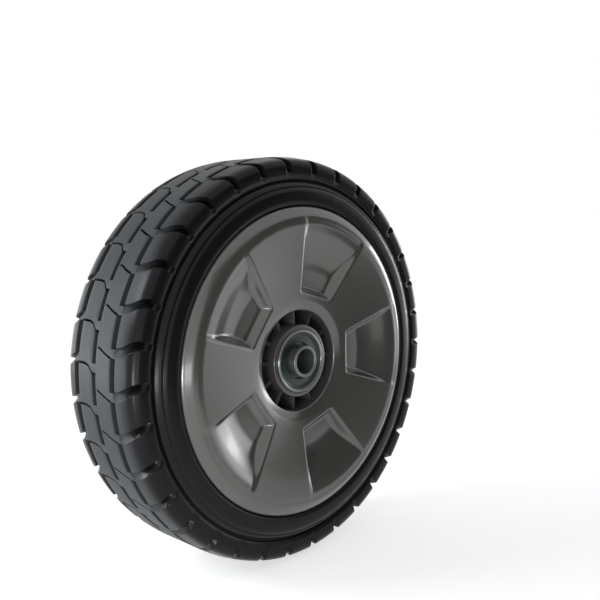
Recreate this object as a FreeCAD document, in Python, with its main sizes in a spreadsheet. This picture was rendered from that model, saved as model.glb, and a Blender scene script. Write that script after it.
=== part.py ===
import FreeCAD, Part
import Sketcher
import math
import os

# Lawn mower wheel: a rubber tyre with a block tread on a one-piece moulded rim, which runs on two
# ball bearings. The wheel's centre is the origin and its axle is the Y axis. The front face, with
# the five pockets, looks along -Y. A size named "out" is measured from the middle of the wheel
# towards a face: the front of a piece is at Y = -out and its rear at Y = +out.

SIZES = {
    # tyre, from its seat on the rim outwards
    "tyre_height": 29.6, "wall_out": 26.5, "shoulder_width": 3.9, "shoulder_drop": 1.3,
    "crown_slope_width": 8.6, "wall_share": 0.74, "line_share": 0.51, "step_share": 0.36,
    "line_width": 1.4, "line_depth": 1.2, "step_sunk": 0.1, "edge_gap": 0.25,
    # tread
    "pitches": 34, "groove_depth": 4.0, "bar_angle": 8.2, "side_bar_width": 3.6,
    "middle_bar_width": 2.6, "front_bar_out": 12.7, "middle_bar_out": -1.6, "rear_bar_out": 16.0,
    "front_bar_turn": 2.38, "middle_bar_turn": 8.68, "rear_bar_turn": 10.40,
    "sipe_width": 1.2, "sipe_depth": 3.0,
    "notch_in": 14.0, "notch_to": 28.5, "notch_in_depth": 0.6, "notch_to_depth": 8.6,
    "notch_ramp": 0.62, "front_notch_from": 5.8, "front_notch_end": 12.2,
    "rear_notch_from": 2.0, "rear_notch_end": -3.0,
    # rim
    "seat_radius": 72.0, "lip_height": 5.1, "lip_width": 3.0, "edge_out": 29.3,
    "edge_round": 1.2, "crest_width": 6.7, "crest_out": 32.2, "crest_round": 2.6,
    "face_out": 26.5, "barrel_wall": 3.5, "disc_wall": 3.2,
    "back_ribs": 10, "back_rib": 2.5, "back_rib_out": 24.0, "rear_out": 25.1,
    # front pockets
    "pockets": 5, "pocket_turn": 1.5, "pocket_depth": 5.6, "pocket_land": 2.9,
    "pocket_margin": 1.6, "inner_draft": 3.8, "outer_draft": 10.8,
    "pocket_in_half": 11.5, "pocket_to_half": 20.8, "pocket_bulge": 3.2,
    "floor_in_half": 8.9, "floor_to_half": 13.8, "floor_bulge": 1.8,
    # hub
    "hub_wall": 2.225, "recess_width": 7.4, "ring_width": 5.0, "recess_out": 24.9,
    "recess_wall": 3.5, "recess_round": 1.2, "bearing_proud": 1.1, "hub_web": 3.0,
    "hub_ribs": 12, "hub_rib": 1.8, "rib_sunk": 4.6, "hub_bore_step": 3.875,
    # bearings, from the bore outwards
    "bore_radius": 6.35, "bore_chamfer": 0.5, "race_wall": 1.525, "ball_radius": 3.175,
    "running_clearance": 0.05, "cup_wall": 1.55, "bearing_in": 15.2, "bearing_width": 11.0,
    "ball_place": 5.0,
    "cup_flange": 1.0, "flange_reach": 0.9, "cup_lip": 1.575, "cup_round": 0.8,
    "cover_place": 3.5, "cover_wall": 0.7, "cover_sunk": 0.7, "cover_gap": 0.9,
    "race_proud": 0.8, "land_place": 3.0, "collar_wall": 1.65, "collar_proud": 2.9,
    "spacer_gap": 0.45, "spacer_wall": 2.2,
}

# Places that follow from the sizes above, each worked out by the sheet.
PLACES = {
    "seat_out": "edge_out - lip_width",
    "step_out": "edge_out - step_sunk",
    "shoulder_out": "wall_out - shoulder_width",
    "crown_half_width": "shoulder_out - crown_slope_width",
    "edge_radius": "seat_radius + lip_height",
    "crest_radius": "edge_radius - crest_width",
    "tread_radius": "seat_radius + tyre_height",
    "wall_radius": "edge_radius + wall_share * (tread_radius - edge_radius)",
    "line_radius": "edge_radius + line_share * (tread_radius - edge_radius)",
    "step_radius": "edge_radius + step_share * (tread_radius - edge_radius)",
    "ball_circle": "bore_radius + race_wall + running_clearance + ball_radius",
    "bearing_radius": "ball_circle + ball_radius + running_clearance + cup_wall",
    "hub_radius": "bearing_radius + hub_wall",
    "recess_radius": "hub_radius + recess_width",
    "face_radius": "recess_radius + ring_width",
    "pocket_in": "face_radius + pocket_land",
    "pocket_to": "crest_radius - pocket_margin",
    "floor_in": "pocket_in + inner_draft",
    "floor_to": "pocket_to - outer_draft",
    "bearing_out": "bearing_in + bearing_width",
    "hub_out": "bearing_out - bearing_proud",
    "rib_out": "hub_out - rib_sunk",
    "hub_bore": "bearing_radius - hub_bore_step",
    "ball_out": "bearing_in + ball_place",
    "cup_hole": "ball_circle - flange_reach",
    "cup_mouth": "bearing_radius - cup_lip",
    "cup_mouth_out": "ball_out + cover_place",
    "cover_rim_out": "bearing_out - cover_sunk",
    "collar_radius": "bore_radius + collar_wall",
    "cover_hole": "collar_radius + cover_gap",
    "race_in": "bearing_in + race_proud",
    "race_land_out": "ball_out + land_place",
    "collar_out": "bearing_out + collar_proud",
    "spacer_bore": "bore_radius + spacer_gap",
    "spacer_radius": "spacer_bore + spacer_wall",
}

doc = FreeCAD.newDocument("LawnMowerWheel")
sheet = doc.addObject("Spreadsheet::Sheet", "Sizes")
NAMES = list(SIZES) + list(PLACES)
for row, alias in enumerate(NAMES, start=1):
    sheet.set(f"A{row}", alias)
    sheet.setAlias(f"B{row}", alias)
    sheet.set(f"B{row}", str(SIZES[alias]) if alias in SIZES else "=" + PLACES[alias])
doc.recompute()


def full(expression):
    """Put the sheet's name before each of its aliases in an expression."""
    words = "".join(c if c.isalnum() or c == "_" else " " for c in expression).split()
    for word in sorted(set(words) & set(NAMES), key=len, reverse=True):
        parts = []
        start = 0
        while True:
            at = expression.find(word, start)
            if at < 0:
                break
            before = expression[at - 1] if at else " "
            after = expression[at + len(word)] if at + len(word) < len(expression) else " "
            if not (before.isalnum() or before in "_.") and not (after.isalnum() or after == "_"):
                parts.append(at)
            start = at + len(word)
        for at in reversed(parts):
            expression = expression[:at] + "Sizes." + expression[at:]
    return expression


def value(expression):
    """Work an expression out as a plain number."""
    result = sheet.evalExpression(full(expression))
    return float(getattr(result, "Value", result))


def body_named(label):
    body = doc.addObject("PartDesign::Body", "Body")
    body.Label = label
    return body


def origin_feature(body, role):
    return next(item for item in body.Origin.OriginFeatures if item.Role == role)


def sketch_on(body, name, role, out="0", turn="0", spin="0"):
    """A sketch on one of the body's origin planes, moved out along the plane's normal.

    turn swings it about the plane's own second axis, then spin turns it about the plane's normal,
    both in degrees.
    """
    sketch = body.newObject("Sketcher::SketchObject", name)
    sketch.AttachmentSupport = [(origin_feature(body, role), "")]
    sketch.MapMode = "FlatFace"
    swing = FreeCAD.Rotation(FreeCAD.Vector(0, 1, 0), value(turn))
    around = FreeCAD.Rotation(FreeCAD.Vector(0, 0, 1), value(spin))
    place = FreeCAD.Vector(0, 0, value(out))
    sketch.AttachmentOffset = FreeCAD.Placement(place, around.multiply(swing))
    sketch.setExpression("AttachmentOffset.Base.z", full(out))
    return sketch


def draw(sketch, corners):
    """Draw a closed outline whose corners are pairs of expressions.

    A corner may hold a third expression, the radius of the arc from it to the next corner:
    positive where the arc bulges to the right of the way round, negative to the left.
    """
    points = [FreeCAD.Vector(value(c[0]), value(c[1]), 0) for c in corners]
    count = len(corners)
    ends = []
    for index, corner in enumerate(corners):
        first, last = points[index], points[(index + 1) % count]
        if len(corner) == 2:
            sketch.addGeometry(Part.LineSegment(first, last))
            ends.append((1, 2))
            continue
        radius = value(corner[2])
        chord = last - first
        sag = abs(radius) - math.sqrt(max(radius ** 2 - (chord.Length / 2) ** 2, 0))
        right = FreeCAD.Vector(chord.y, -chord.x, 0).normalize()
        middle = (first + last) * 0.5 + right * math.copysign(sag, radius)
        if radius > 0:
            sketch.addGeometry(Part.Arc(first, middle, last))
            ends.append((1, 2))
        else:
            sketch.addGeometry(Part.Arc(last, middle, first))
            ends.append((2, 1))
    for index, corner in enumerate(corners):
        after = (index + 1) % count
        sketch.addConstraint(
            Sketcher.Constraint("Coincident", index, ends[index][1], after, ends[after][0]))
    for index, corner in enumerate(corners):
        for kind, expression, number in (("DistanceX", corner[0], points[index].x),
                                         ("DistanceY", corner[1], points[index].y)):
            place = sketch.addConstraint(
                Sketcher.Constraint(kind, -1, 1, index, ends[index][0], number))
            sketch.setExpression(f"Constraints[{place}]", full(expression))
        if len(corner) == 3:
            place = sketch.addConstraint(
                Sketcher.Constraint("Radius", index, abs(value(corner[2]))))
            sketch.setExpression(f"Constraints[{place}]", full(f"abs({corner[2]})"))


def revolve(body, name, corners, kind="PartDesign::Revolution", turn="0", angle=None):
    """Turn an outline of (radius, Y) corners about the axle."""
    sketch = sketch_on(body, name + "_outline", "XY_Plane", turn=turn)
    draw(sketch, corners)
    feature = body.newObject(kind, name)
    feature.Profile = sketch
    feature.ReferenceAxis = (sketch, ["V_Axis"])
    if angle is None:
        feature.Angle = 360
    else:
        feature.Midplane = True
        feature.Angle = value(angle)
        feature.setExpression("Angle", full(f"({angle}) * 1 deg"))
    return feature


def extrude(body, name, kind, corners, length, role, out="0", turn="0", middle=False):
    """Pad an outline, or pocket it, by a length along the normal of its plane."""
    sketch = sketch_on(body, name + "_outline", role, out=out, turn=turn)
    draw(sketch, corners)
    feature = body.newObject(kind, name)
    feature.Profile = sketch
    feature.Midplane = middle
    feature.Length = value(length)
    feature.setExpression("Length", full(length))
    return feature


def polar(body, name, originals, count):
    """Repeat features round the axle."""
    pattern = body.newObject("PartDesign::PolarPattern", name)
    pattern.Originals = originals
    pattern.Axis = (origin_feature(body, "Y_Axis"), [""])
    pattern.Angle = 360
    pattern.Occurrences = int(value(count))
    pattern.setExpression("Occurrences", full(count))
    body.Tip = pattern
    return pattern


def solid_volume(feature):
    doc.recompute()
    return feature.Shape.Volume


def reflected(corners):
    """The same outline on the other side of Y = 0, still run the same way round."""
    result = []
    for index in range(len(corners) - 1, -1, -1):
        before = corners[index - 1]
        arc = (before[2],) if index and len(before) == 3 else ()
        result.append((corners[index][0], f"-({corners[index][1]})") + arc)
    return result


def make_tyre():
    """The tyre: a crowned band with rounded shoulders and a stepped sidewall, cut by the tread."""
    tyre = body_named("tyre")
    front = [
        ("tread_radius", "-crown_half_width"),
        ("tread_radius - shoulder_drop", "-shoulder_out"),
        ("wall_radius + 1.6", "-(wall_out - 0.4)"),
        ("wall_radius - 1", "-wall_out"),
        ("line_radius + line_width / 2", "-(wall_out - 0.5)"),
        ("line_radius", "-(wall_out - 0.5 - line_depth)"),
        ("line_radius - line_width / 2", "-(wall_out - 0.4)"),
        ("step_radius", "-step_out"),
        ("edge_radius + edge_gap + 0.8", "-(step_out - 0.3)"),
        ("edge_radius + edge_gap", "-(step_out - 0.9)"),
        ("edge_radius + edge_gap", "-seat_out"),
        ("seat_radius", "-seat_out"),
    ]
    carcass = revolve(tyre, "carcass", front + reflected(front))
    cuts = [tread_bar(tyre, side) for side in ("front", "middle", "rear")]
    cuts.append(sipe(tyre, "rear_sipe", REAR_SIPE))
    cuts.append(sipe(tyre, "front_sipe", FRONT_SIPE))
    cuts.append(shoulder_notch(tyre, "front", 1))
    cuts.append(shoulder_notch(tyre, "rear", -1))
    before = solid_volume(carcass)
    tread = polar(tyre, "tread", cuts, "pitches")
    if not solid_volume(tread) < 0.999 * before:
        raise RuntimeError("the tread cuts nothing")
    return tyre


def tread_bar(tyre, side):
    """One groove of a row of grooves that run round the tread."""
    width = "middle_bar_width" if side == "middle" else "side_bar_width"
    place = "rear_bar_out" if side == "rear" else f"(-{side}_bar_out)"
    corners = [
        ("tread_radius - groove_depth", f"{place} - {width} / 2"),
        ("tread_radius + 1", f"{place} - {width} / 2"),
        ("tread_radius + 1", f"{place} + {width} / 2"),
        ("tread_radius - groove_depth", f"{place} + {width} / 2"),
    ]
    return revolve(tyre, f"{side}_bar", corners, "PartDesign::Groove",
                   turn=f"{side}_bar_turn", angle="bar_angle")


# The middle lines of the two thin slits of a pitch, as (X, Y) over the top of the tread.
REAR_SIPE = [("-6.2", "-middle_bar_out - 1.1"), ("-2.4", "6.5"), ("-2.0", "rear_bar_out - 1")]
FRONT_SIPE = [("2.2", "-front_bar_out + 1"), ("5.8", "-1.4")]


def sipe(tyre, name, line):
    """A thin slit that follows a line across the tread."""
    corners = [(f"{x} - sipe_width / 2", y) for x, y in line]
    corners += [(f"{x} + sipe_width / 2", y) for x, y in reversed(line)]
    return extrude(tyre, name, "PartDesign::Pocket", corners, "sipe_depth + 1", "XY_Plane",
                   out="tread_radius + 1")


def shoulder_notch(tyre, side, way):
    """A wedge over the shoulder, with a steep upper wall and a sloped lower one.

    Its section is carried outwards along a line that sinks into the shoulder, so that the notch
    grows deeper and wider.
    """
    begin, end = f"{side}_notch_from", f"{side}_notch_end"
    reach = "(notch_to_depth + 2)"
    corners = [
        (f"{begin} - notch_ramp * {reach}", f"tread_radius - notch_in_depth + {reach}"),
        (begin, "tread_radius - notch_in_depth"),
        (begin, f"tread_radius - notch_in_depth + {reach}"),
    ]
    run = "(notch_to - notch_in)"
    cut = extrude(tyre, f"{side}_notch", "PartDesign::Pocket", corners, run, "XZ_Plane",
                  out=f"{way} * notch_in")
    cut.UseCustomVector = True
    cut.AlongSketchNormal = True
    cut.Direction = FreeCAD.Vector(value(end) - value(begin), -way * value(run),
                                   value("notch_in_depth - notch_to_depth"))
    return cut


SLOPE = "((crest_out - face_out) / (crest_radius - face_radius))"
FOOT = f"(face_out - {SLOPE} * face_radius)"


def make_rim():
    """The rim, one moulding: barrel, lips, dished disc with pockets, ribs and hub tube."""
    rim = body_named("rim")
    back = "(pocket_depth + disc_wall)"
    barrel = "(seat_radius - barrel_wall)"
    ring = "(recess_radius + recess_wall)"
    moulding = [
        ("seat_radius", "-seat_out"),
        ("edge_radius", "-seat_out"),
        ("edge_radius", "-(edge_out - edge_round)"),
        ("edge_radius - edge_round", "-edge_out"),
        ("crest_radius + crest_round * 0.9", "-(crest_out - crest_round * 0.4)"),
        ("crest_radius + crest_round * 0.3", "-crest_out"),
        ("crest_radius - crest_round * 0.4", f"-(crest_out - {SLOPE} * crest_round * 0.4)"),
        ("face_radius", "-face_out"),
        ("recess_radius + recess_round", "-(recess_out + 0.3)"),
        ("recess_radius", "-(recess_out - recess_round + 0.3)"),
        ("recess_radius", "-hub_web / 2"),
        ("hub_radius", "-hub_web / 2"),
        ("hub_radius", "-hub_out"),
        ("bearing_radius", "-hub_out"),
        ("bearing_radius", "-bearing_in"),
        ("hub_bore", "-bearing_in"),
        ("hub_bore", "bearing_in"),
        ("bearing_radius", "bearing_in"),
        ("bearing_radius", "hub_out"),
        ("hub_radius", "hub_out"),
        ("hub_radius", "hub_web / 2"),
        ("recess_radius", "hub_web / 2"),
        ("recess_radius", "rear_out"),
        (ring, "rear_out"),
        (ring, f"-({FOOT} + {SLOPE} * {ring} - {back})"),
        (barrel, f"-({FOOT} + {SLOPE} * {barrel} - {back})"),
        (barrel, "edge_out - edge_round"),
        (f"{barrel} + edge_round", "edge_out"),
        ("edge_radius - edge_round", "edge_out"),
        ("edge_radius", "edge_out - edge_round"),
        ("edge_radius", "seat_out"),
        ("seat_radius", "seat_out"),
    ]
    revolve(rim, "moulding", moulding)
    hub_rib = extrude(rim, "hub_rib", "PartDesign::Pad", [
        ("hub_radius - 0.6", "-rib_out"),
        ("recess_radius + 0.6", "-rib_out"),
        ("recess_radius + 0.6", "rib_out"),
        ("hub_radius - 0.6", "rib_out"),
    ], "hub_rib", "XY_Plane", middle=True)
    polar(rim, "hub_rib_ring", [hub_rib], "hub_ribs")
    back_rib = extrude(rim, "back_rib", "PartDesign::Pad", [
        (f"{ring} - 0.6", f"-({FOOT} + {SLOPE} * {ring} - {back} + 1)"),
        (f"{barrel} + 0.6", f"-({FOOT} + {SLOPE} * {barrel} - {back} + 1)"),
        (f"{barrel} + 0.6", "back_rib_out"),
        (f"{ring} - 0.6", "back_rib_out"),
    ], "back_rib", "XY_Plane", turn="18", middle=True)
    ribbed = polar(rim, "back_rib_ring", [back_rib], "back_ribs")
    before = solid_volume(ribbed)
    hollow = front_pocket(rim)
    pockets = polar(rim, "pocket_ring", [hollow], "pockets")
    if not solid_volume(pockets) < 0.999 * before:
        raise RuntimeError("the pockets cut nothing")
    return rim


def front_pocket(rim):
    """One tapered pocket of the disc, between a floor and an outline above the face.

    The floor lies along the dished face. The side and inner walls are steep, and the outer wall
    is a long slope that runs out at the crest.
    """
    above = 2.0
    sketches = []
    for level in ("floor", "top"):
        grow = "0" if level == "floor" else f"(1 + {above} / pocket_depth)"
        inner, outer, near, far, bulge = (
            f"(floor_{name} + (pocket_{name} - floor_{name}) * {grow})"
            for name in ("in", "to", "in_half", "to_half", "bulge"))
        height = f"{FOOT} - pocket_depth" if level == "floor" else f"{FOOT} + {above}"
        sketch = sketch_on(rim, f"pocket_{level}", "XZ_Plane", out=height,
                           turn=f"-atan({SLOPE}) / 1 deg", spin="pocket_turn")
        draw(sketch, [
            (inner, f"-{near}"),
            (f"{outer} - {bulge}", f"-{far}"),
            (outer, f"-{far} / 3"),
            (outer, f"{far} / 3"),
            (f"{outer} - {bulge}", far),
            (inner, near),
        ])
        sketches.append(sketch)
    cut = rim.newObject("PartDesign::SubtractiveLoft", "pocket")
    cut.Profile = sketches[0]
    cut.Sections = [sketches[1]]
    cut.Ruled = True
    return cut


BALL_RINGS = 6
BALL_SIDES = 10
RACEWAY = "(ball_radius + running_clearance)"
EASE = f"({RACEWAY} * 0.4142)"


def ring_piece(label, corners, side):
    """A turned or pressed ring, drawn for the rear bearing and reflected for the front one."""
    piece = body_named(label)
    revolve(piece, "ring", corners if side == "rear" else reflected(corners))
    return piece


def make_bearing(side):
    """One bearing: cup, cover, inner race and as many loose balls as the space takes."""
    wall = f"(ball_circle + {RACEWAY})"
    land = f"(ball_circle + {EASE})"
    ring_piece(f"{side}_bearing_cup", [
        ("cup_hole", "bearing_in"),
        ("bearing_radius", "bearing_in"),
        ("bearing_radius", "bearing_out - cup_round"),
        ("bearing_radius - cup_round", "bearing_out"),
        ("cup_mouth", "bearing_out - cup_round * 0.6"),
        ("cup_mouth", "cup_mouth_out"),
        (land, "cup_mouth_out"),
        (wall, f"ball_out + {EASE}"),
        (wall, f"ball_out - {EASE}"),
        (land, "bearing_in + cup_flange"),
        ("cup_hole", "bearing_in + cup_flange"),
    ], side)
    ring_piece(f"{side}_bearing_cover", [
        ("cover_hole", "cup_mouth_out"),
        ("cup_mouth", "cup_mouth_out"),
        ("cup_mouth", "cover_rim_out"),
        ("cup_mouth - cover_wall", "cover_rim_out"),
        ("cup_mouth - cover_wall * 1.6", "cup_mouth_out + cover_wall"),
        ("cover_hole + 0.4", "cup_mouth_out + cover_wall * 1.7"),
        ("cover_hole", "cup_mouth_out + cover_wall * 1.3"),
    ], side)
    wall = f"(ball_circle - {RACEWAY})"
    land = f"(ball_circle - {EASE})"
    ring_piece(f"{side}_inner_race", [
        ("bore_radius", "race_in"),
        (land, "race_in"),
        (land, f"ball_out - {RACEWAY}"),
        (wall, f"ball_out - {EASE}"),
        (wall, f"ball_out + {EASE}"),
        ("collar_radius", "race_land_out"),
        ("collar_radius", "collar_out - bore_chamfer"),
        ("collar_radius - bore_chamfer", "collar_out"),
        ("bore_radius + bore_chamfer", "collar_out"),
        ("bore_radius", "collar_out - bore_chamfer"),
    ], side)
    way = 1 if side == "rear" else -1
    balls = int(math.pi / math.asin(value("ball_radius / ball_circle")))
    for number in range(balls):
        turn = 2 * math.pi * (number + 0.5) / balls
        middle = FreeCAD.Vector(value("ball_circle") * math.cos(turn), way * value("ball_out"),
                                value("ball_circle") * math.sin(turn))
        ball = doc.addObject("Part::Feature", "Ball")
        ball.Label = f"{side}_ball_{number + 1:02d}"
        ball.Shape = faceted_ball(value("ball_radius"))
        ball.Placement = FreeCAD.Placement(
            middle, FreeCAD.Rotation(FreeCAD.Vector(0, 1, 0), -math.degrees(turn)))


def faceted_ball(radius):
    """A ball with flat facets, poles along Y and corners on the true sphere.

    It is closed in by the races and the cover, so it keeps few facets and still runs on the
    corners of its equator.
    """
    corners = []
    for ring in range(BALL_RINGS + 1):
        rise = math.pi * ring / BALL_RINGS
        corners.append([
            FreeCAD.Vector(math.sin(rise) * math.cos(2 * math.pi * side / BALL_SIDES),
                           math.cos(rise),
                           math.sin(rise) * math.sin(2 * math.pi * side / BALL_SIDES)) * radius
            for side in range(BALL_SIDES)])
    faces = []
    for ring in range(BALL_RINGS):
        for side in range(BALL_SIDES):
            after = (side + 1) % BALL_SIDES
            edge = [corners[ring][side], corners[ring][after]] if ring else [corners[0][0]]
            edge += ([corners[ring + 1][after], corners[ring + 1][side]]
                     if ring < BALL_RINGS - 1 else [corners[BALL_RINGS][0]])
            faces.append(Part.Face(Part.makePolygon(edge + [edge[0]])))
    shell = Part.makeShell(faces)
    shell.sewShape()
    solid = Part.makeSolid(shell)
    if solid.Volume < 0:
        solid.reverse()
    return solid


def make_spacer():
    """The tube between the two inner races."""
    spacer = body_named("spacer_tube")
    revolve(spacer, "tube", [
        ("spacer_bore", "-race_in"),
        ("spacer_radius", "-race_in"),
        ("spacer_radius", "race_in"),
        ("spacer_bore", "race_in"),
    ])


def export_pieces():
    """Check each feature and write one STEP file for each piece."""
    for item in doc.Objects:
        if {"Invalid", "Error"} & set(item.State):
            raise RuntimeError(f"{item.Label} failed: {item.State}")
    os.makedirs("parts", exist_ok=True)
    for item in doc.Objects:
        if item.TypeId not in ("PartDesign::Body", "Part::Feature"):
            continue
        if item.Shape.isNull() or not item.Shape.isValid():
            raise RuntimeError(f"{item.Label} has no sound shape")
        item.Shape.exportStep(os.path.join("parts", item.Label + ".step"))
        triangles = len(item.Shape.tessellate(0.1)[1])
        print(f"{item.Label}: {item.Shape.Volume:.0f} mm3, {triangles} triangles")


make_tyre()
make_rim()
make_bearing("front")
make_bearing("rear")
make_spacer()
doc.recompute()
export_pieces()
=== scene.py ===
"""Looks of the lawn mower wheel: block-tread tyre, moulded rim and ball bearings.

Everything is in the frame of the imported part, in metres. The wheel's centre is the origin, the
axle is the Y axis and the pocketed front face looks along -Y. Sizes in the classes are in
millimetres, unless a class says metres; "out" is measured from the middle of the wheel towards
the front face.
"""

import logging
import math
from dataclasses import dataclass
from enum import Enum

import bpy
import numpy as np
from mathutils import Matrix, Vector

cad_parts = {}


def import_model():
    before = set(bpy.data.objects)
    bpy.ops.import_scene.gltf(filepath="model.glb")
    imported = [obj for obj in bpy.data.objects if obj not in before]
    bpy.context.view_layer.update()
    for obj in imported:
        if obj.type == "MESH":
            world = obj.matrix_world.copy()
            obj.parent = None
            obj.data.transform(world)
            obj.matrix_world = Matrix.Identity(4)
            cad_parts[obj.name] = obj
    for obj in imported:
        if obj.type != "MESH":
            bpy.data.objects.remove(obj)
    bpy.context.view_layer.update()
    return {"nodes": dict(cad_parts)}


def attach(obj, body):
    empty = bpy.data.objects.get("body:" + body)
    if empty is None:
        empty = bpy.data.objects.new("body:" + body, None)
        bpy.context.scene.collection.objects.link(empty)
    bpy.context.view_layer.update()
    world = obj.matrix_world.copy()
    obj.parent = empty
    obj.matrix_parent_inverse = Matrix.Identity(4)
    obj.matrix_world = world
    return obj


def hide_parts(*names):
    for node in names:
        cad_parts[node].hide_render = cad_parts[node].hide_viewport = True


MM = 0.001
# Places across the wall of a cut in the tread, in mm from its edge: the start and the end of the
# block's eased edge, then the top and the foot of the wall.
WALL = np.array([-0.42, -0.12, 0.05, 0.35])
# Half widths of a slit at its floor and at its mouth, in mm.
SLIT = np.array([0.35, 0.55])
# Where the wall of a shoulder notch starts to rise and where it ends, in mm past its place.
NOTCH = np.array([0.05, 0.25])
LOG = logging.getLogger("wheel")


class Side(Enum):
    """The two ends of the axle; the value is the sign of "out"."""

    FRONT = 1.0
    REAR = -1.0


class Body(Enum):
    """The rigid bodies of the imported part."""

    CORE = "axle_core"
    WHEEL = "wheel"


def ranged(nodes: bpy.types.Nodes, links: bpy.types.NodeLinks, value: bpy.types.NodeSocket,
           source: tuple[float, float] = (0.0, 1.0), target: tuple[float, float] = (0.0, 1.0),
           kind: str = "LINEAR") -> bpy.types.NodeSocket:
    """Map a value from one range to another, clamped at both ends.

    Args:
        nodes: The nodes of the material or world.
        links: Its links.
        value: The socket that carries the value.
        source: The range that is mapped.
        target: The range that it is mapped to.
        kind: The node's interpolation.

    Returns:
        The socket that carries the mapped value.
    """
    mapped = nodes.new("ShaderNodeMapRange")
    mapped.interpolation_type = kind
    mapped.inputs["From Min"].default_value, mapped.inputs["From Max"].default_value = source
    mapped.inputs["To Min"].default_value, mapped.inputs["To Max"].default_value = target
    links.new(value, mapped.inputs["Value"])
    return mapped.outputs["Result"]


def combined(nodes: bpy.types.Nodes, links: bpy.types.NodeLinks, operation: str,
             first: bpy.types.NodeSocket, second: bpy.types.NodeSocket | float
             ) -> bpy.types.NodeSocket:
    """Combine two values with a Math node.

    Args:
        nodes: The nodes of the material or world.
        links: Its links.
        operation: The node's operation.
        first: The socket that carries the first value.
        second: The socket that carries the second value, or a number.

    Returns:
        The socket that carries the result.
    """
    node = nodes.new("ShaderNodeMath")
    node.operation = operation
    links.new(first, node.inputs[0])
    if isinstance(second, float):
        node.inputs[1].default_value = second
    else:
        links.new(second, node.inputs[1])
    return node.outputs["Value"]


@dataclass(frozen=True)
class Finish:
    """A plain surface finish with a fine bump and a slow change of shade.

    The grain is the fine noise of the bump and the roughness, the mottle the slow one that mixes
    the colour with the second colour, or else with the colour darkened by the shade. Both are in
    cells per metre, and the bump's depth is in metres.
    """

    name: str
    colour: tuple[float, float, float]
    roughness: float
    metallic: float = 0.0
    specular: float = 0.5
    coat: float = 0.0
    coat_roughness: float = 0.1
    grain: float = 900.0
    bump: float = 0.02
    bump_depth: float = 0.0002
    mottle: float = 30.0
    shade: float = 0.1
    second: tuple[float, float, float] | None = None
    uneven: float = 0.15

    def material(self) -> bpy.types.Material:
        """Build the finish as a material that reads Object coordinates.

        Returns:
            The new material.
        """
        made = bpy.data.materials.new(self.name)
        made.use_nodes = True
        nodes, links = made.node_tree.nodes, made.node_tree.links
        shader = nodes["Principled BSDF"]
        shader.inputs["Metallic"].default_value = self.metallic
        shader.inputs["Specular IOR Level"].default_value = self.specular
        shader.inputs["Coat Weight"].default_value = self.coat
        shader.inputs["Coat Roughness"].default_value = self.coat_roughness
        place = nodes.new("ShaderNodeTexCoord")
        slow = self._noise(nodes, links, place, self.mottle, detail=3.0)
        fine = self._noise(nodes, links, place, self.grain, detail=2.0)
        tint = nodes.new("ShaderNodeMix")
        tint.data_type = "RGBA"
        other = self.second or tuple(c * (1.0 - self.shade) for c in self.colour)
        tint.inputs["A"].default_value = (*self.colour, 1.0)
        tint.inputs["B"].default_value = (*other, 1.0)
        links.new(slow, tint.inputs["Factor"])
        span = (self.roughness * (1.0 - self.uneven), self.roughness * (1.0 + self.uneven))
        rough = ranged(nodes, links, fine, target=span)
        colour, dull = self.overlay(nodes, links, place, tint.outputs["Result"], rough)
        links.new(colour, shader.inputs["Base Color"])
        links.new(dull, shader.inputs["Roughness"])
        bump = nodes.new("ShaderNodeBump")
        bump.inputs["Strength"].default_value = self.bump
        bump.inputs["Distance"].default_value = self.bump_depth
        links.new(fine, bump.inputs["Height"])
        links.new(bump.outputs["Normal"], shader.inputs["Normal"])
        return made

    def overlay(self, nodes: bpy.types.Nodes, links: bpy.types.NodeLinks, place: bpy.types.Node,
                colour: bpy.types.NodeSocket, dull: bpy.types.NodeSocket
                ) -> tuple[bpy.types.NodeSocket, bpy.types.NodeSocket]:
        """Change the finish in some places; a plain one keeps its colour and roughness."""
        return colour, dull

    @staticmethod
    def _noise(nodes: bpy.types.Nodes, links: bpy.types.NodeLinks, place: bpy.types.Node,
               scale: float, detail: float) -> bpy.types.NodeSocket:
        """Add a noise texture on Object coordinates.

        Args:
            nodes: The nodes of the material.
            links: The links of the material.
            place: The texture coordinate node.
            scale: Noise cells per metre.
            detail: Octaves of the noise.

        Returns:
            The socket that carries the noise.
        """
        noise = nodes.new("ShaderNodeTexNoise")
        noise.inputs["Scale"].default_value = scale
        noise.inputs["Detail"].default_value = detail
        links.new(place.outputs["Object"], noise.inputs["Vector"])
        return noise.outputs["Fac"]


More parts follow.
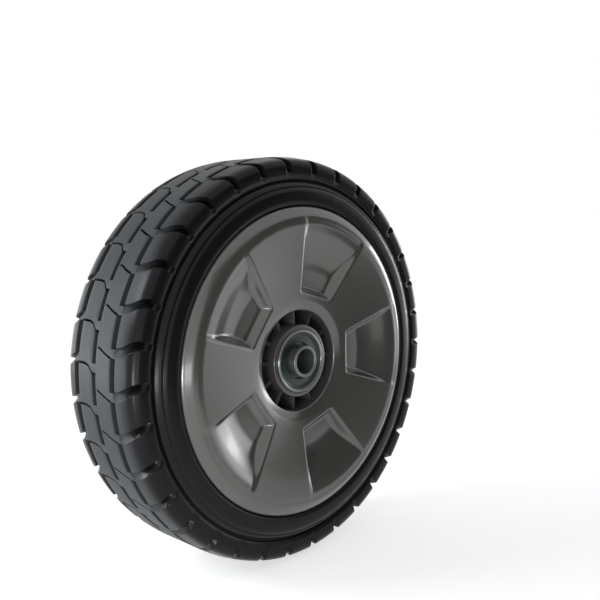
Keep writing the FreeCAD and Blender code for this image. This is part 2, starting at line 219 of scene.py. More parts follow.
@dataclass(frozen=True)
class ToneAndPaintedLightFinish(Finish):
    """A finish that changes in a zone round the axle.

    The zone starts between the two radii and fades out between the two distances from the
    wheel's middle plane, all in metres. Its colour is in part painted light and shade: on the
    tyre a real greyish bloom with painted light on the tread's tops, and in the rim's hub
    recesses painted shade.
    """

    zone: tuple[float, float, float] = (0.5, 0.5, 0.5)
    zone_roughness: float = 0.5
    radii: tuple[float, float] = (0.0, 1.0)
    reach: tuple[float, float] = (0.0, 1.0)

    def overlay(self, nodes: bpy.types.Nodes, links: bpy.types.NodeLinks, place: bpy.types.Node,
                colour: bpy.types.NodeSocket, dull: bpy.types.NodeSocket
                ) -> tuple[bpy.types.NodeSocket, bpy.types.NodeSocket]:
        """Fade to the zone's colour and roughness.

        Args:
            nodes: The nodes of the material.
            links: The links of the material.
            place: The texture coordinate node.
            colour: The colour outside the zone.
            dull: The roughness outside the zone.

        Returns:
            The sockets that carry the mixed colour and roughness.
        """
        flat = nodes.new("ShaderNodeVectorMath")
        flat.operation = "MULTIPLY"
        flat.inputs[1].default_value = (1.0, 0.0, 1.0)
        links.new(place.outputs["Object"], flat.inputs[0])
        radius = nodes.new("ShaderNodeVectorMath")
        radius.operation = "LENGTH"
        links.new(flat.outputs["Vector"], radius.inputs[0])
        start = ranged(nodes, links, radius.outputs["Value"], self.radii)
        apart = nodes.new("ShaderNodeSeparateXYZ")
        links.new(place.outputs["Object"], apart.inputs["Vector"])
        aside = combined(nodes, links, "ABSOLUTE", apart.outputs["Y"], 0.0)
        fade = ranged(nodes, links, aside, self.reach, (1.0, 0.0), "SMOOTHSTEP")
        # cover is where the zone colour is mixed in, that is, where the painted light and shade go.
        cover = combined(nodes, links, "MULTIPLY", start, fade)
        mixed = nodes.new("ShaderNodeMix")
        mixed.data_type = "RGBA"
        mixed.inputs["B"].default_value = (*self.zone, 1.0)
        links.new(cover, mixed.inputs["Factor"])
        links.new(colour, mixed.inputs["A"])
        duller = nodes.new("ShaderNodeMix")
        duller.inputs["B"].default_value = self.zone_roughness
        links.new(cover, duller.inputs["Factor"])
        links.new(dull, duller.inputs["A"])
        return mixed.outputs["Result"], duller.outputs["Result"]


# The tyre's zone colour is partly a real greyish bloom on the tread and partly painted light. It
# makes the tread's tops lighter and fades out towards the shoulders, which stay darker as painted
# shade.
RUBBER = ToneAndPaintedLightFinish("tyre_rubber", (0.0085, 0.0090, 0.0100), 0.26, specular=0.15, grain=1600.0,
                     bump=0.08, mottle=45.0, shade=0.25, zone=(0.039, 0.042, 0.045),
                     zone_roughness=0.46, radii=(0.0930, 0.0975), reach=(0.0155, 0.0228))
# The moulding's zone colour is painted shade. It darkens the hub tube and its ribs down in the
# recesses nearly to black. Its high roughness is the recesses' dull finish.
MOULDING = ToneAndPaintedLightFinish("rim_moulding", (0.068, 0.0655, 0.0605), 0.20, specular=0.90, coat=0.22,
                       coat_roughness=0.05, grain=500.0, bump=0.02, mottle=25.0, shade=0.06,
                       zone=(0.010, 0.0095, 0.0085), zone_roughness=0.8, radii=(0.0259, 0.0256),
                       reach=(0.0236, 0.0250))
ZINC = Finish("zinc_plate", (0.27, 0.285, 0.275), 0.22, metallic=1.0, grain=700.0, bump=0.04,
              mottle=120.0, second=(0.18, 0.195, 0.19))
DISH = Finish("cover_plate", (0.080, 0.095, 0.090), 0.34, metallic=1.0, grain=900.0, bump=0.05,
              mottle=160.0, second=(0.05, 0.065, 0.06))
COLLAR = Finish("race_steel", (0.19, 0.205, 0.195), 0.38, metallic=0.8, grain=900.0, bump=0.03,
                mottle=150.0, shade=0.2)
BALL_STEEL = Finish("ball_steel", (0.75, 0.75, 0.76), 0.08, metallic=1.0)
TUBE_STEEL = Finish("tube_steel", (0.25, 0.27, 0.25), 0.5, metallic=0.5)


def smooth_min(a: np.ndarray, b: np.ndarray, blend: float) -> np.ndarray:
    """The lesser of two heights, with the crease between them rounded.

    Where the heights differ by less than blend, a parabola joins them below the crease.

    Args:
        a: First height.
        b: Second height.
        blend: The difference within which they are rounded together.

    Returns:
        The rounded lesser height.
    """
    near = np.maximum(blend - np.abs(a - b), 0.0) / blend
    return np.minimum(a, b) - near * near * blend / 4.0


def rounded(corners: list[tuple[float, float, float]], steps: int = 5) -> np.ndarray:
    """A closed outline whose corners are rounded by arcs.

    Each corner is (radius, out, rounding). Its arc is the quadratic curve that leaves one side
    and meets the other at the rounding's distance from the corner.

    Args:
        corners: The corners in order.
        steps: Points on each rounded corner.

    Returns:
        Points of the outline, one row each.
    """
    spots = np.array([corner[:2] for corner in corners])
    before = np.roll(spots, 1, axis=0) - spots
    after = np.roll(spots, -1, axis=0) - spots
    pieces = []
    for spot, back, ahead, corner in zip(spots, before, after, corners):
        if corner[2] <= 0:
            pieces.append(spot[None, :])
            continue
        start = spot + back / np.linalg.norm(back) * corner[2]
        end = spot + ahead / np.linalg.norm(ahead) * corner[2]
        s = np.linspace(0.0, 1.0, steps)[:, None]
        pieces.append((1 - s) ** 2 * start + 2 * s * (1 - s) * spot + s ** 2 * end)
    return np.concatenate(pieces)


def turned(outline: np.ndarray, angles: np.ndarray) -> np.ndarray:
    """Carry an outline round the axle.

    A point at (radius, out) goes to X = radius cos(angle), Y = -out, Z = radius sin(angle).

    Args:
        outline: Points as (radius, out), shape (n, 2) or (n, m, 2) where they change with angle.
        angles: Angles in radians, shape (m,) or (n, m).

    Returns:
        Grid of points in metres, shape (n, m, 3).
    """
    if outline.ndim == 2:
        outline = outline[:, None, :]
    radius, out = outline[..., 0], outline[..., 1]
    grid = [radius * np.cos(angles), -out + 0 * angles, radius * np.sin(angles)]
    return np.stack(grid, axis=-1) * MM


def ring_quads(rows: int, columns: int) -> np.ndarray:
    """Corner numbers of the quads of a grid that closes on itself both ways.

    Args:
        rows: Number of rows of points.
        columns: Number of points in each row.

    Returns:
        Four corner numbers for each quad.
    """
    row, column = np.meshgrid(np.arange(rows), np.arange(columns), indexing="ij")
    down, right = (row + 1) % rows, (column + 1) % columns
    quads = np.stack([row * columns + column, row * columns + right,
                      down * columns + right, down * columns + column], axis=-1)
    return quads.reshape(-1, 4)


def faced_out(points: np.ndarray, quads: np.ndarray) -> np.ndarray:
    """Turn all quads over if the volume that they enclose comes out negative.

    The volume is the sum over the quads' triangles of a corner's product with the cross product of
    the other two.

    Args:
        points: Points of a closed surface.
        quads: Corner numbers of its quads.

    Returns:
        The corner numbers in the order that faces outwards.
    """
    a, b, c, d = (points[quads[:, k]] for k in range(4))
    volume = np.einsum("ij,ij->", a, np.cross(b, c)) + np.einsum("ij,ij->", a, np.cross(c, d))
    return quads if volume > 0 else quads[:, ::-1]


def solid(name: str, parts: list[tuple[np.ndarray, np.ndarray]], finish: bpy.types.Material,
          crease: float = 35.0) -> bpy.types.Object:
    """Make one object of closed surfaces.

    Args:
        name: Name of the piece.
        parts: For each closed surface, its points and the corner numbers of its quads.
        finish: Its material.
        crease: Edges that turn by more than this angle in degrees stay sharp.

    Returns:
        The new object, in the scene.
    """
    shifts = np.cumsum([0] + [len(points) for points, _ in parts[:-1]])
    points = np.concatenate([points for points, _ in parts])
    quads = np.concatenate([faced_out(p, q) + shift for (p, q), shift in zip(parts, shifts)])
    mesh = bpy.data.meshes.new(name)
    mesh.vertices.add(len(points))
    mesh.vertices.foreach_set("co", points.astype(np.float32).ravel())
    mesh.loops.add(quads.size)
    mesh.loops.foreach_set("vertex_index", quads.astype(np.int32).ravel())
    mesh.polygons.add(len(quads))
    mesh.polygons.foreach_set("loop_start", np.arange(0, quads.size, 4, dtype=np.int32))
    mesh.polygons.foreach_set("use_smooth", np.ones(len(quads), dtype=bool))
    mesh.update(calc_edges=True)
    mesh.validate()
    mesh.set_sharp_from_angle(angle=math.radians(crease))
    mesh.materials.append(finish)
    made = bpy.data.objects.new(name, mesh)
    bpy.context.scene.collection.objects.link(made)
    return made


def ring(outline: np.ndarray, columns: int) -> tuple[np.ndarray, np.ndarray]:
    """A closed outline carried once round the axle.

    Args:
        outline: Points as (radius, out).
        columns: Number of steps round the axle.

    Returns:
        Points in metres and quads.
    """
    angles = np.linspace(0.0, 2 * math.pi, columns, endpoint=False)
    grid = turned(outline, angles)
    return grid.reshape(-1, 3), ring_quads(len(outline), columns)


def slab(corners: np.ndarray, thickness: float, angle: float,
         round_off: float = 0.3) -> tuple[np.ndarray, np.ndarray]:
    """A flat rib that stands in a plane through the axle, with eased edges.

    Its outline of four corners is repeated on four planes across its thickness. The outer two are
    drawn towards the outline's middle by the easing, and a quad closes each side.

    Args:
        corners: Outline as four (radius, out).
        thickness: Thickness in mm.
        angle: Angle of its plane about the axle, in radians.
        round_off: Easing of the edges in mm.

    Returns:
        Points in metres and quads.
    """
    middle = corners.mean(axis=0)
    spread = corners - middle
    shrink = 1.0 - round_off / np.abs(spread).max(axis=0)
    half = thickness / 2
    across = np.array([-half, round_off - half, half - round_off, half])
    scale = np.array([shrink, [1, 1], [1, 1], shrink], dtype=float)
    outline = middle + spread[None] * scale[:, None, :]
    radius, out = outline[..., 0], outline[..., 1]
    side = across[:, None] + 0 * radius
    x = radius * math.cos(angle) - side * math.sin(angle)
    z = radius * math.sin(angle) + side * math.cos(angle)
    points = np.stack([x, -out, z], axis=-1).reshape(-1, 3) * MM
    rows, columns = outline.shape[:2]
    edges = ring_quads(rows, columns)[: (rows - 1) * columns]
    caps = np.array([np.arange(columns)[::-1], (rows - 1) * columns + np.arange(columns)])
    return points, np.concatenate([edges, caps])


@dataclass
class Tyre:
    """The rubber tyre, with a tread of short grooves, thin slits and shoulder notches.

    The cuts are placed in degrees from the start of a pitch, before the sweep, and in mm out.
    A groove is (first degree, last degree, out, width), a slit (degree, least out, greatest out)
    and a notch (degree of its wall, degrees of its ramp, side, mm further out). A slit line is one
    more grid line in the floor of a slit. The first pitch starts at start, in degrees from the top
    towards +X.
    """

    material: bpy.types.Material
    radius: float = 101.59
    crown_radius: float = 45.0
    flat_half: float = 12.0
    tread_half: float = 21.0
    pitches: int = 34
    start: float = 271.8
    groove_depth: float = 4.0
    slit_depth: float = 3.0
    grooves: tuple[tuple[float, float, float, float], ...] = (
        (-3.50, 4.70, 12.7, 3.3), (0.50, 8.70, -1.6, 2.5), (0.0, 8.30, -16.0, 3.7))
    slits: tuple[tuple[float, float, float], ...] = ((8.45, -14.3, -0.3), (4.80, 1.2, 11.2))
    slit_lines: tuple[float, float] = (4.9, 8.6)
    notches: tuple[tuple[float, float, float, float], ...] = (
        (7.2, 2.3, 1.0, 0.0), (10.5, 1.9, -1.0, 1.8))

    @property
    def pitch(self) -> float:
        """One repeat of the tread, in degrees."""
        return 360.0 / self.pitches

    @property
    def per_degree(self) -> float:
        """Length of one degree of the tread, in mm."""
        return math.radians(1.0) * self.radius

    def sweep(self, out: np.ndarray) -> np.ndarray:
        """How far the pattern is swept round; straight between chosen places.

        Args:
            out: Distance from the tread's middle, in mm.

        Returns:
            The sweep in degrees.
        """
        places = [-27.0, -25.4, -19.3, -17.9, -12.7, -10.0, -6.0, -2.85, -0.4, 1.2, 3.6, 5.6, 8.0,
                  11.0, 14.4, 15.7, 18.3, 21.3, 22.9, 26.5]
        turns = [2.4, 2.5, 3.9, 4.5, 4.5, 4.6, 4.1, 2.2, 2.2, 2.0, 1.6, 1.0, 0.4,
                 0.0, 0.0, 0.1, 0.5, 1.3, 1.8, 2.7]
        return np.interp(out, places, turns)

    def columns(self, closest: float = 0.05, widest: float = 2.0) -> np.ndarray:
        """Grid lines of one pitch: close together at each wall, then evened out.

        Args:
            closest: Lines nearer to the one before than this are left out, in degrees.
            widest: Gaps wider than this are divided, in degrees.

        Returns:
            The lines in degrees, in order.
        """
        near = WALL / self.per_degree
        lines = []
        for first, last, _, _ in self.grooves:
            lines += [first + near, last - near]
        for middle, _, _ in self.slits:
            lines.append(middle + np.array([*-SLIT[::-1], *SLIT]) / self.per_degree)
        for wall, _, _, _ in self.notches:
            lines.append(wall + np.array([WALL[1], *NOTCH]) / self.per_degree)
        lines.append(np.array(self.slit_lines))
        lines = np.unique(np.concatenate(lines) % self.pitch)
        kept = lines[np.append(True, np.diff(lines) > closest)]
        gaps = np.diff(np.append(kept, kept[0] + self.pitch))
        extra = [kept[k] + gaps[k] * np.arange(1, n) / n
                 for k, n in enumerate(np.ceil(gaps / widest).astype(int)) if n > 1]
        return np.sort(np.concatenate([kept, *extra]) % self.pitch)

    def rows(self, closest: float = 0.14, step: float = 3.0) -> np.ndarray:
        """The outline, with rows close together at each wall of a groove.

        Both sidewalls step in at a narrow groove and bulge; the front one has a fine mould line.

        Args:
            closest: Rows of the tread nearer to the one before than this are left out, in mm.
            step: The distance between the tread's plain rows, in mm.

        Returns:
            The outline as (radius, out), from the rear bead over the tread to the front one.
        """
        outs = [np.arange(-self.tread_half, self.tread_half + 1.0, step)]
        for _, _, out, width in self.grooves:
            outs += [out - width / 2 + WALL, out + width / 2 - WALL]
        inner_end, shoulder_start = self.slits[1][1], 22.3
        outs.append(np.array([inner_end + 0.4, inner_end, inner_end - 0.4]))
        outs.append(np.array([shoulder_start, -shoulder_start]))
        outs = np.sort(np.concatenate(outs))
        outs = outs[np.append(True, np.diff(outs) > closest)]
        past = np.maximum(np.abs(outs) - self.flat_half, 0.0)
        drop = self.crown_radius - np.sqrt(self.crown_radius ** 2 - past ** 2)
        crown = np.stack([self.radius - drop, outs], axis=1)
        first, last, bend = np.array([100.2, 22.9]), np.array([95.3, 26.5]), np.array([99.3, 26.2])
        turn = np.linspace(0.0, 1.0, 8)[1:, None]
        shoulder = (1 - turn) ** 2 * first + 2 * turn * (1 - turn) * bend + turn ** 2 * last
        groove = np.array([[94.2, 26.46], [92.8, 26.3], [90.4, 26.0], [90.05, 25.6], [89.85, 24.8],
                           [89.35, 24.8], [89.15, 25.7], [88.8, 26.15], [87.7, 27.2]])
        mould_line = np.array([[86.6, 27.95], [86.35, 27.9], [86.1, 27.92]])
        bulge = np.array([[85.9, 28.3], [84.0, 28.85], [82.0, 29.15], [80.2, 29.2], [78.8, 29.05],
                          [78.1, 28.8], [77.5, 28.3], [77.35, 27.6], [77.35, 26.35], [72.05, 26.35]])
        front = np.concatenate([shoulder, groove, mould_line, bulge])
        rear = np.concatenate([shoulder, groove, bulge])[::-1] * [1, -1]
        return np.concatenate([rear, crown, front])

    def depth(self, place: np.ndarray, out: np.ndarray) -> np.ndarray:
        """Depth of the tread's cuts.

        A wall falls within a third of a millimetre, after a slight easing of the block's edge. A
        shoulder notch deepens in proportion along its ramp and ends at its wall, and it is deeper
        further out.

        Args:
            place: Degrees from the start of the pitch, before the sweep.
            out: Distance from the tread's middle, in mm.

        Returns:
            Depth in mm.
        """
        def aside(middle: float) -> np.ndarray:
            """Distance round the tread from the nearest copy of a place, in mm."""
            return ((place - middle + self.pitch / 2) % self.pitch - self.pitch / 2) * self.per_degree

        cut = np.zeros(np.broadcast(place, out).shape)
        for first, last, middle, width in self.grooves:
            along = (last - first) / 2 * self.per_degree - np.abs(aside((first + last) / 2))
            across = width / 2 - np.abs(out - middle)
            fall = np.interp(np.minimum(along, across), WALL, [0.0, 0.03, 0.3, 1.0])
            cut = np.maximum(cut, self.groove_depth * fall)
        for middle, low, high in self.slits:
            line = np.interp(np.abs(aside(middle)), SLIT, [1.0, 0.0])
            span = np.interp(out, [low - 0.4, low, high, high + 0.1], [0.0, 1.0, 1.0, 0.0])
            cut = np.maximum(cut, self.slit_depth * line * span)
        deepening = ([13.9, 14.6, 18.0, 22.0, 26.0, 26.5], [0.0, 0.9, 2.4, 3.8, 4.4, 4.2])
        for wall, ramp, side, further in self.notches:
            past = aside(wall)
            rise = np.clip(1.0 + past / (ramp * self.per_degree), 0.0, 1.0)
            rise = np.where(past > NOTCH[0], np.interp(past, NOTCH, [1.0, 0.0]), rise)
            cut = np.maximum(cut, rise * np.interp(side * out - further, *deepening))
        return cut

    def build(self) -> bpy.types.Object:
        """Make the tyre and let it stand for the CAD tyre.

        Each point of the outline is moved inwards, square to the outline, by the depth of the
        cuts, which run out at the foot of the shoulder.

        Returns:
            The tyre's object.
        """
        rows = self.rows()
        lines = self.columns()
        place = (np.arange(self.pitches)[:, None] * self.pitch + lines[None]).ravel()
        ahead = np.roll(rows, -1, axis=0) - np.roll(rows, 1, axis=0)
        inward = np.stack([-ahead[:, 1], ahead[:, 0]], axis=1)
        inward /= np.linalg.norm(inward, axis=1, keepdims=True)
        radius, out = rows[:, 0], rows[:, 1]
        cut = self.depth(np.tile(lines, self.pitches)[None, :], out[:, None])
        cut *= np.interp(radius, [92.8, 94.2, 95.5], [0.0, 0.5, 1.0])[:, None]
        outline = rows[:, None, :] + inward[:, None, :] * cut[..., None]
        turn = place[None, :] + self.start + self.sweep(out)[:, None]
        grid = turned(outline, np.radians(90.0 - turn))
        made = solid("tyre_tread", [(grid.reshape(-1, 3), ring_quads(*grid.shape[:2]))],
                     self.material, crease=50.0)
        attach(made, Body.WHEEL.value)
        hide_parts("tyre")
        return made


@dataclass
class Rim:
    """The one-piece moulded rim: dished face with pockets, lips, barrel, hub and ribs.

    The lengths named "half" run from the wheel's middle to an end. The face is the part of the
    outline beyond face_out, and the pockets are pressed into it between face_in and face_to. Their
    depth is that at the middle radius of their floors, and the grades are the depth that their
    walls gain for each mm from the edge. The turns of the first pocket and the first back rib are
    in degrees from +X towards the top, and half_angle is half of a pocket's, in degrees.
    """

    material: bpy.types.Material
    lip: float = 77.1
    seat: float = 72.0
    barrel: float = 68.5
    seat_half: float = 26.3
    rear_end: float = -29.3
    ring_outside: float = 29.0
    recess: float = 25.5
    tube: float = 18.1
    tube_half: float = 25.1
    bearing_seat: float = 15.875
    bearing_shelf: float = 15.2
    through: float = 12.0
    web_half: float = 1.5
    sink: float = 0.3
    face_out: float = 26.0
    face_in: float = 31.0
    face_to: float = 71.5
    pockets: int = 5
    pocket_turn: float = 1.5
    pocket_depth: float = 5.6
    floor_slope: float = 0.085
    sweep_length: float = 24.0
    floor_middle: float = 50.0
    pocket_in: float = 33.3
    pocket_to: float = 69.2
    half_angle: float = 18.4
    side_grade: float = 1.8
    inner_grade: float = 1.6
    wall_crease: float = 2.0
    floor_crease: float = 2.4
    edge_crease: float = 1.4
    columns: int = 540
    tube_columns: int = 180
    hub_ribs: int = 12
    hub_rib_thickness: float = 1.8
    back_ribs: int = 10
    back_rib_thickness: float = 2.5
    back_turn: float = 18.0

    def outline(self) -> np.ndarray:
        """Section of the moulding without the pockets, from the front recess round to it again.

        Returns:
            Points as (radius, out).
        """
        return rounded([
            (self.recess, self.web_half, 0), (self.recess, 24.6, 0.7), (29.6, 26.3, 1.0),
            (33.0, 26.86, 0), (69.9, 32.15, 2.2), (72.6, 31.4, 2.0), (76.2, 29.35, 0.8),
            (self.lip, 28.4, 0.7), (self.lip, self.seat_half, 0), (self.seat, self.seat_half, 0),
            (self.seat, -self.seat_half, 0), (self.lip, -self.seat_half, 0),
            (self.lip, self.rear_end, 1.0), (self.barrel, self.rear_end, 1.0),
            (self.barrel, 23.0, 1.5), (self.ring_outside, 17.5, 1.5),
            (self.ring_outside, -self.tube_half, 0.5), (self.recess, -self.tube_half, 0.5),
            (self.recess, -self.web_half, 0)])

    def dense(self, outline: np.ndarray, step: float = 0.55, plain: float = 12.0) -> np.ndarray:
        """Divide the long sides of the outline, finely on the face, where the pockets are.

        Args:
            outline: Points as (radius, out).
            step: Greatest distance between points on the face, in mm.
            plain: Greatest distance between points elsewhere, in mm.

        Returns:
            The outline with more points.
        """
        ends = np.roll(outline, -1, axis=0)
        pieces = []
        for start, end in zip(outline, ends):
            face = min(start[1], end[1]) > self.face_out and max(start[0], end[0]) < self.seat
            length = np.linalg.norm(end - start)
            count = int(np.ceil(length / (step if face else plain)))
            pieces.append(start + (end - start) * (np.arange(count) / count)[:, None])
        return np.concatenate(pieces)

    def hollow(self, radius: np.ndarray, angle: np.ndarray) -> np.ndarray:
        """Depth of the pockets below the dished face.

        Each wall gives a depth that grows in a straight line with the distance from its edge. The
        floor lies nearly square to the axle, so its depth below the dished face grows outwards,
        and towards the outer end it rises to the face along an S-shaped cubic. The least of the
        depths holds, with rounded creases.

        Args:
            radius: Distance from the axle, in mm.
            angle: Angle about the axle, in radians.

        Returns:
            Depth in mm.
        """
        step = 2 * math.pi / self.pockets
        aside = (angle - math.radians(self.pocket_turn) + step / 2) % step - step / 2
        half = math.radians(self.half_angle)
        sides = radius * np.sin(half - np.abs(aside)) * self.side_grade
        inner = (radius * np.cos(aside) - self.pocket_in) * self.inner_grade
        way = np.clip((self.pocket_to - radius) / self.sweep_length, 0.0, 1.0)
        floor = self.pocket_depth + self.floor_slope * (radius - self.floor_middle)
        floor = floor * way * way * (3.0 - 2.0 * way)
        walls = smooth_min(sides, inner, self.wall_crease)
        cut = smooth_min(walls, floor, self.floor_crease)
        return -smooth_min(-cut, np.zeros_like(cut), self.edge_crease)

    def face_and_barrel(self) -> tuple[np.ndarray, np.ndarray]:
        """The moulding's outer shell, with the pockets pressed into its face.

        Returns:
            Points in metres and quads.
        """
        outline = self.dense(self.outline())
        angles = np.linspace(0.0, 2 * math.pi, self.columns, endpoint=False)
        radius, out = outline[:, 0:1], outline[:, 1:2]
        front = (out > self.face_out) & (radius > self.face_in) & (radius < self.face_to)
        cut = np.where(front, self.hollow(radius, angles[None, :]), 0.0)
        shape = np.stack([radius + 0 * cut, out - cut], axis=-1)
        return turned(shape, angles).reshape(-1, 3), ring_quads(len(outline), self.columns)

    def hub(self) -> tuple[np.ndarray, np.ndarray]:
        """The hub tube with its two bearing seats and the web that carries it.

        Returns:
            Points in metres and quads.
        """
        front = [(self.through, self.bearing_shelf, 0), (self.bearing_seat, self.bearing_shelf, 0),
                 (self.bearing_seat, self.tube_half, 0.3), (self.tube, self.tube_half, 0.4),
                 (self.tube, self.web_half, 0.5), (self.recess + self.sink, self.web_half, 0)]
        rear = [(radius, -out, rounding) for radius, out, rounding in reversed(front)]
        return ring(rounded(front + rear), self.tube_columns)

    def ribs(self) -> list[tuple[np.ndarray, np.ndarray]]:
        """The ribs round the hub tube and those in the open back, sunk into the walls they join.

        Returns:
            Points in metres and quads of each rib.
        """
        hub_rib = np.array([(17.6, -20.5), (26.0, -20.5), (26.0, 20.5), (17.6, 20.5)])
        back_rib = np.array([(28.6, -24.0), (69.0, -24.0), (69.0, 24.1), (28.6, 18.4)])
        made = []
        for number in range(self.hub_ribs):
            turn = 2 * math.pi * number / self.hub_ribs
            made.append(slab(hub_rib, self.hub_rib_thickness, turn))
        for number in range(self.back_ribs):
            turn = math.radians(self.back_turn) + 2 * math.pi * number / self.back_ribs
            made.append(slab(back_rib, self.back_rib_thickness, turn))
        return made

    def build(self) -> bpy.types.Object:
        """Make the rim and let it stand for the CAD rim.

        Returns:
            The rim's object.
        """
        parts = [self.face_and_barrel(), self.hub(), *self.ribs()]
        made = solid("rim_moulding", parts, self.material, crease=50.0)
        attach(made, Body.WHEEL.value)
        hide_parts("rim")
        return made


@dataclass
class Bearing:
    """One pressed ball bearing: cup, cover dish and inner race.

    The sizes are radii, apart from those named "out", which are distances from the wheel's middle,
    and the groove's half width.
    """

    side: Side
    plate: bpy.types.Material
    dish: bpy.types.Material
    collar: bpy.types.Material
    bore: float = 6.35
    neck: float = 8.0
    race_land: float = 9.0
    race_floor: float = 7.88
    cup_hole: float = 10.2
    cup_land: float = 13.2
    cup_floor: float = 14.33
    mouth: float = 14.3
    seat: float = 15.875
    cover_hole: float = 8.9
    shelf_out: float = 15.2
    flange_out: float = 16.2
    race_out: float = 16.0
    balls_out: float = 20.2
    shoulder_out: float = 23.2
    cover_out: float = 23.7
    collar_out: float = 29.1
    groove_half: float = 2.45
    columns: int = 144

    def piece(self, name: str, outline: np.ndarray, body: Body,
              finish: bpy.types.Material) -> bpy.types.Object:
        """Make one ring of the bearing in place of its CAD node.

        Args:
            name: The CAD node's name without its side.
            outline: Section as (radius, out) for the front bearing.
            body: The body that it rides on.
            finish: Its material.

        Returns:
            The ring's object.
        """
        node = f"{self.side.name.lower()}_{name}"
        outline = outline * [1.0, self.side.value]
        made = solid(f"{node}_turned", [ring(outline, self.columns)], finish, crease=40.0)
        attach(made, body.value)
        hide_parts(node)
        return made

    def build(self) -> list[bpy.types.Object]:
        """Make the bearing's three rings.

        Returns:
            Their objects.
        """
        groove_in, groove_to = self.balls_out - self.groove_half, self.balls_out + self.groove_half
        cup = rounded([
            (self.cup_hole, self.shelf_out, 0), (self.seat, self.shelf_out, 0.6),
            (self.seat, 26.2, 0.8), (self.mouth, 26.0, 0.7), (self.mouth, self.cover_out, 0),
            (self.cup_land, self.cover_out, 0), (self.cup_land, groove_to, 0),
            (self.cup_floor, self.balls_out, 1.6), (self.cup_land, groove_in, 0),
            (self.cup_land, self.flange_out, 0), (self.cup_hole, self.flange_out, 0)])
        cover = rounded([
            (self.cover_hole, 23.8, 0.1), (self.mouth, self.cover_out, 0), (self.mouth, 25.5, 0.3),
            (13.4, 25.5, 0.4), (13.1, 24.5, 0.6), (9.6, 24.9, 0.3), (self.cover_hole, 24.5, 0.3)])
        race = rounded([
            (self.bore, self.race_out, 0), (self.race_land, self.race_out, 0),
            (self.race_land, groove_in, 0), (self.race_floor, self.balls_out, 1.6),
            (self.race_land, groove_to, 0), (self.race_land, self.shoulder_out, 0),
            (self.neck, self.shoulder_out, 0), (self.neck, self.collar_out, 0.7),
            (self.bore, self.collar_out, 0.6)])
        return [self.piece("bearing_cup", cup, Body.WHEEL, self.plate),
                self.piece("bearing_cover", cover, Body.WHEEL, self.dish),
                self.piece("inner_race", race, Body.CORE, self.collar)]


@dataclass(frozen=True)
class Lamp:
    """A soft lamp.

    Its place and the point that it faces are in metres, its size is (width, height) in metres and
    its power is in watts.
    """

    name: str
    place: tuple[float, float, float]
    size: tuple[float, float]
    power: float
    colour: tuple[float, float, float] = (1.0, 1.0, 1.0)
    towards: tuple[float, float, float] = (0.0, 0.0, 0.0)

    def build(self) -> None:
        """Put the lamp in the scene."""
        data = bpy.data.lights.new(self.name, "AREA")
        data.shape = "RECTANGLE"
        data.size, data.size_y = self.size
        data.energy = self.power
        data.color = self.colour
        lamp = bpy.data.objects.new(self.name, data)
        lamp.location = self.place
        ahead = Vector(self.towards) - Vector(self.place)
        lamp.rotation_euler = ahead.to_track_quat("-Z", "Y").to_euler()
        bpy.context.scene.collection.objects.link(lamp)


@dataclass(frozen=True)
class Card:
    """A dark card beside the wheel, which only reflections and soft light see.

    It runs between two directions, in degrees from the X axis towards the front, at a reach from
    the axle to its upright edges. Its height is from low to high; lengths are in millimetres.
    """

    name: str
    start: float
    end: float
    low: float
    high: float = 400.0
    reach: float = 600.0
    shade: float = 0.01

    def build(self) -> None:
        """Put the card in the scene, hidden from the camera."""
        ends = [np.array([math.cos(turn), -math.sin(turn)]) * self.reach * MM
                for turn in (math.radians(self.start), math.radians(self.end))]
        low, high = self.low * MM, self.high * MM
        corners = [(*ends[0], low), (*ends[1], low), (*ends[1], high), (*ends[0], high)]
        mesh = bpy.data.meshes.new(self.name)
        mesh.from_pydata(corners, [], [(0, 1, 2, 3)])
        paint = bpy.data.materials.new("card_paint")
        paint.use_nodes = True
        shader = paint.node_tree.nodes["Principled BSDF"]
        shader.inputs["Base Color"].default_value = (self.shade, self.shade, self.shade, 1.0)
        shader.inputs["Specular IOR Level"].default_value = 0.0
        mesh.materials.append(paint)
        card = bpy.data.objects.new(self.name, mesh)
        card.visible_camera = False
        bpy.context.scene.collection.objects.link(card)


# The floor's height is in mm, and the middle that the low lamps face is in metres.
FLOOR_HEIGHT = -101.6
COOL = (0.93, 0.97, 1.0)
LOW_MIDDLE = (0.0, 0.0, -0.04)
CARDS = (
    Card("front_card", 49.0, 104.0, FLOOR_HEIGHT),
    Card("far_card", 40.0, 49.0, -4.0),
    Card("near_card", 46.0, 80.0, FLOOR_HEIGHT, -15.0, 400.0),
)
LAMPS = (
    Lamp("left_window", (-0.46, 0.80, 0.08), (0.40, 0.36), 1.4, COOL),
    Lamp("rear_window", (-0.08, 0.92, 0.08), (0.40, 0.36), 0.6, COOL),
    Lamp("low_left", (-0.46, 0.39, -0.05), (0.30, 0.09), 0.9, COOL, LOW_MIDDLE),
    Lamp("left_table", (-0.75, 0.45, 0.45), (0.35, 0.35), 4.5, COOL, (-0.42, 0.25, -0.10)),
    Lamp("right_window", (0.85, -0.02, 0.08), (0.40, 0.30), 1.6),
    Lamp("right_table", (0.54, -0.22, -0.05), (0.36, 0.09), 0.20, towards=LOW_MIDDLE),
    Lamp("near_camera", (-0.24, -0.42, -0.055), (0.16, 0.07), 0.18, towards=LOW_MIDDLE),
    Lamp("beside_camera", (-0.44, -0.24, -0.055), (0.20, 0.07), 0.95, towards=LOW_MIDDLE),
)


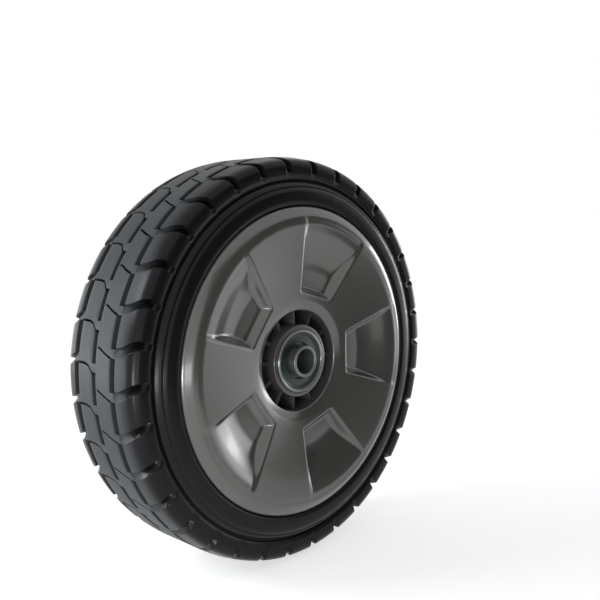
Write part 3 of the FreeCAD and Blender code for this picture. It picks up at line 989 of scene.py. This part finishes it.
@dataclass
class Studio:
    """The floor, the white surroundings, the camera, the cards and the lamps.

    Lengths are in metres, apart from the lens and the sensor, which are in millimetres. The eye is
    the camera's place, and right, up and back are its own directions. The floor is plain within
    the plain radius and shines white beyond the white one. Its lift is the glow that brings its
    lit part near to white. The soft level is the strength of the surroundings as a light, against
    one where they are seen or mirrored.
    """

    lens: float = 48.42
    sensor: float = 36.0
    nearest: float = 0.01
    eye: tuple[float, float, float] = (-0.2868, -0.3048, 0.0680)
    right: tuple[float, float, float] = (0.6984, -0.7157, 0.0)
    up: tuple[float, float, float] = (0.0666, 0.0650, 0.9957)
    back: tuple[float, float, float] = (-0.7126, -0.6954, 0.0930)
    floor_half: float = 6.0
    floor_gap: float = 0.0002
    floor_shade: float = 0.9
    floor_roughness: float = 0.9
    plain_radius: float = 0.2
    white_radius: float = 0.7
    lift: float = 0.6
    soft_level: float = 0.32

    def floor(self) -> None:
        """Lay a plain pale floor that takes the wheel's shadow."""
        half, height = self.floor_half, FLOOR_HEIGHT * MM - self.floor_gap
        corners = [(-half, -half, height), (half, -half, height), (half, half, height),
                   (-half, half, height)]
        mesh = bpy.data.meshes.new("floor")
        mesh.from_pydata(corners, [], [(0, 1, 2, 3)])
        paint = bpy.data.materials.new("floor_paint")
        paint.use_nodes = True
        nodes, links = paint.node_tree.nodes, paint.node_tree.links
        shader = nodes["Principled BSDF"]
        shade = self.floor_shade
        shader.inputs["Base Color"].default_value = (shade, shade, shade, 1.0)
        shader.inputs["Roughness"].default_value = self.floor_roughness
        shader.inputs["Specular IOR Level"].default_value = 0.0
        place = nodes.new("ShaderNodeTexCoord")
        radius = nodes.new("ShaderNodeVectorMath")
        radius.operation = "LENGTH"
        links.new(place.outputs["Object"], radius.inputs[0])
        fade = ranged(nodes, links, radius.outputs["Value"],
                      (self.plain_radius, self.white_radius), kind="SMOOTHSTEP")
        seen = self.seen(nodes, links)
        glow = nodes.new("ShaderNodeEmission")
        near = nodes.new("ShaderNodeEmission")
        links.new(combined(nodes, links, "MULTIPLY", seen, self.lift), near.inputs["Strength"])
        both = nodes.new("ShaderNodeAddShader")
        links.new(shader.outputs["BSDF"], both.inputs[0])
        links.new(near.outputs["Emission"], both.inputs[1])
        mixed = nodes.new("ShaderNodeMixShader")
        links.new(combined(nodes, links, "MULTIPLY", fade, seen), mixed.inputs["Fac"])
        links.new(both.outputs["Shader"], mixed.inputs[1])
        links.new(glow.outputs["Emission"], mixed.inputs[2])
        links.new(mixed.outputs["Shader"], nodes["Material Output"].inputs["Surface"])
        mesh.materials.append(paint)
        floor = bpy.data.objects.new("floor", mesh)
        bpy.context.scene.collection.objects.link(floor)

    @staticmethod
    def seen(nodes: bpy.types.Nodes, links: bpy.types.NodeLinks) -> bpy.types.NodeSocket:
        """One for camera, glossy and transmission rays and nought for the rest.

        Args:
            nodes: The nodes of the material or world.
            links: Its links.

        Returns:
            The socket that carries it.
        """
        rays = nodes.new("ShaderNodeLightPath")
        last = rays.outputs["Is Camera Ray"]
        for kind in ("Is Glossy Ray", "Is Transmission Ray"):
            last = combined(nodes, links, "MAXIMUM", last, rays.outputs[kind])
        return last

    def sky(self) -> None:
        """Surround the scene with white for the camera and for gloss, and dimmer for light."""
        world = bpy.data.worlds.new("studio")
        world.use_nodes = True
        nodes, links = world.node_tree.nodes, world.node_tree.links
        back = nodes["Background"]
        back.inputs["Color"].default_value = (1.0, 1.0, 1.0, 1.0)
        level = ranged(nodes, links, self.seen(nodes, links), target=(self.soft_level, 1.0))
        links.new(level, back.inputs["Strength"])
        bpy.context.scene.world = world

    def camera(self) -> None:
        """Set the camera where the photograph was taken from."""
        data = bpy.data.cameras.new("camera")
        data.lens = self.lens
        data.sensor_width = self.sensor
        data.clip_start = self.nearest
        camera = bpy.data.objects.new("camera", data)
        turn = Matrix((self.right, self.up, self.back)).transposed().to_4x4()
        camera.matrix_world = Matrix.Translation(self.eye) @ turn
        bpy.context.scene.collection.objects.link(camera)
        bpy.context.scene.camera = camera

    def build(self) -> None:
        """Set up the whole studio."""
        bpy.context.scene.view_settings.view_transform = "Standard"
        self.floor()
        self.sky()
        self.camera()
        for item in (*CARDS, *LAMPS):
            item.build()


def dress(node: bpy.types.Object, finish: bpy.types.Material) -> None:
    """Give a CAD node a finish."""
    node.data.materials.clear()
    node.data.materials.append(finish)


def main() -> None:
    """Build the wheel's pieces in order and set the scene."""
    logging.basicConfig(level=logging.INFO, format="%(name)s: %(message)s")
    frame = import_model()
    zinc, dish, collar = ZINC.material(), DISH.material(), COLLAR.material()
    made = [Tyre(RUBBER.material()).build(), Rim(MOULDING.material()).build()]
    for side in Side:
        made += Bearing(side, zinc, dish, collar).build()
    balls, tube = BALL_STEEL.material(), TUBE_STEEL.material()
    for name, node in frame["nodes"].items():
        if "_ball_" in name:
            dress(node, balls)
        elif name == "spacer_tube":
            dress(node, tube)
    for piece in made:
        LOG.info("%s: %d faces", piece.name, len(piece.data.polygons))
    Studio().build()


if __name__ == "__main__":
    main()
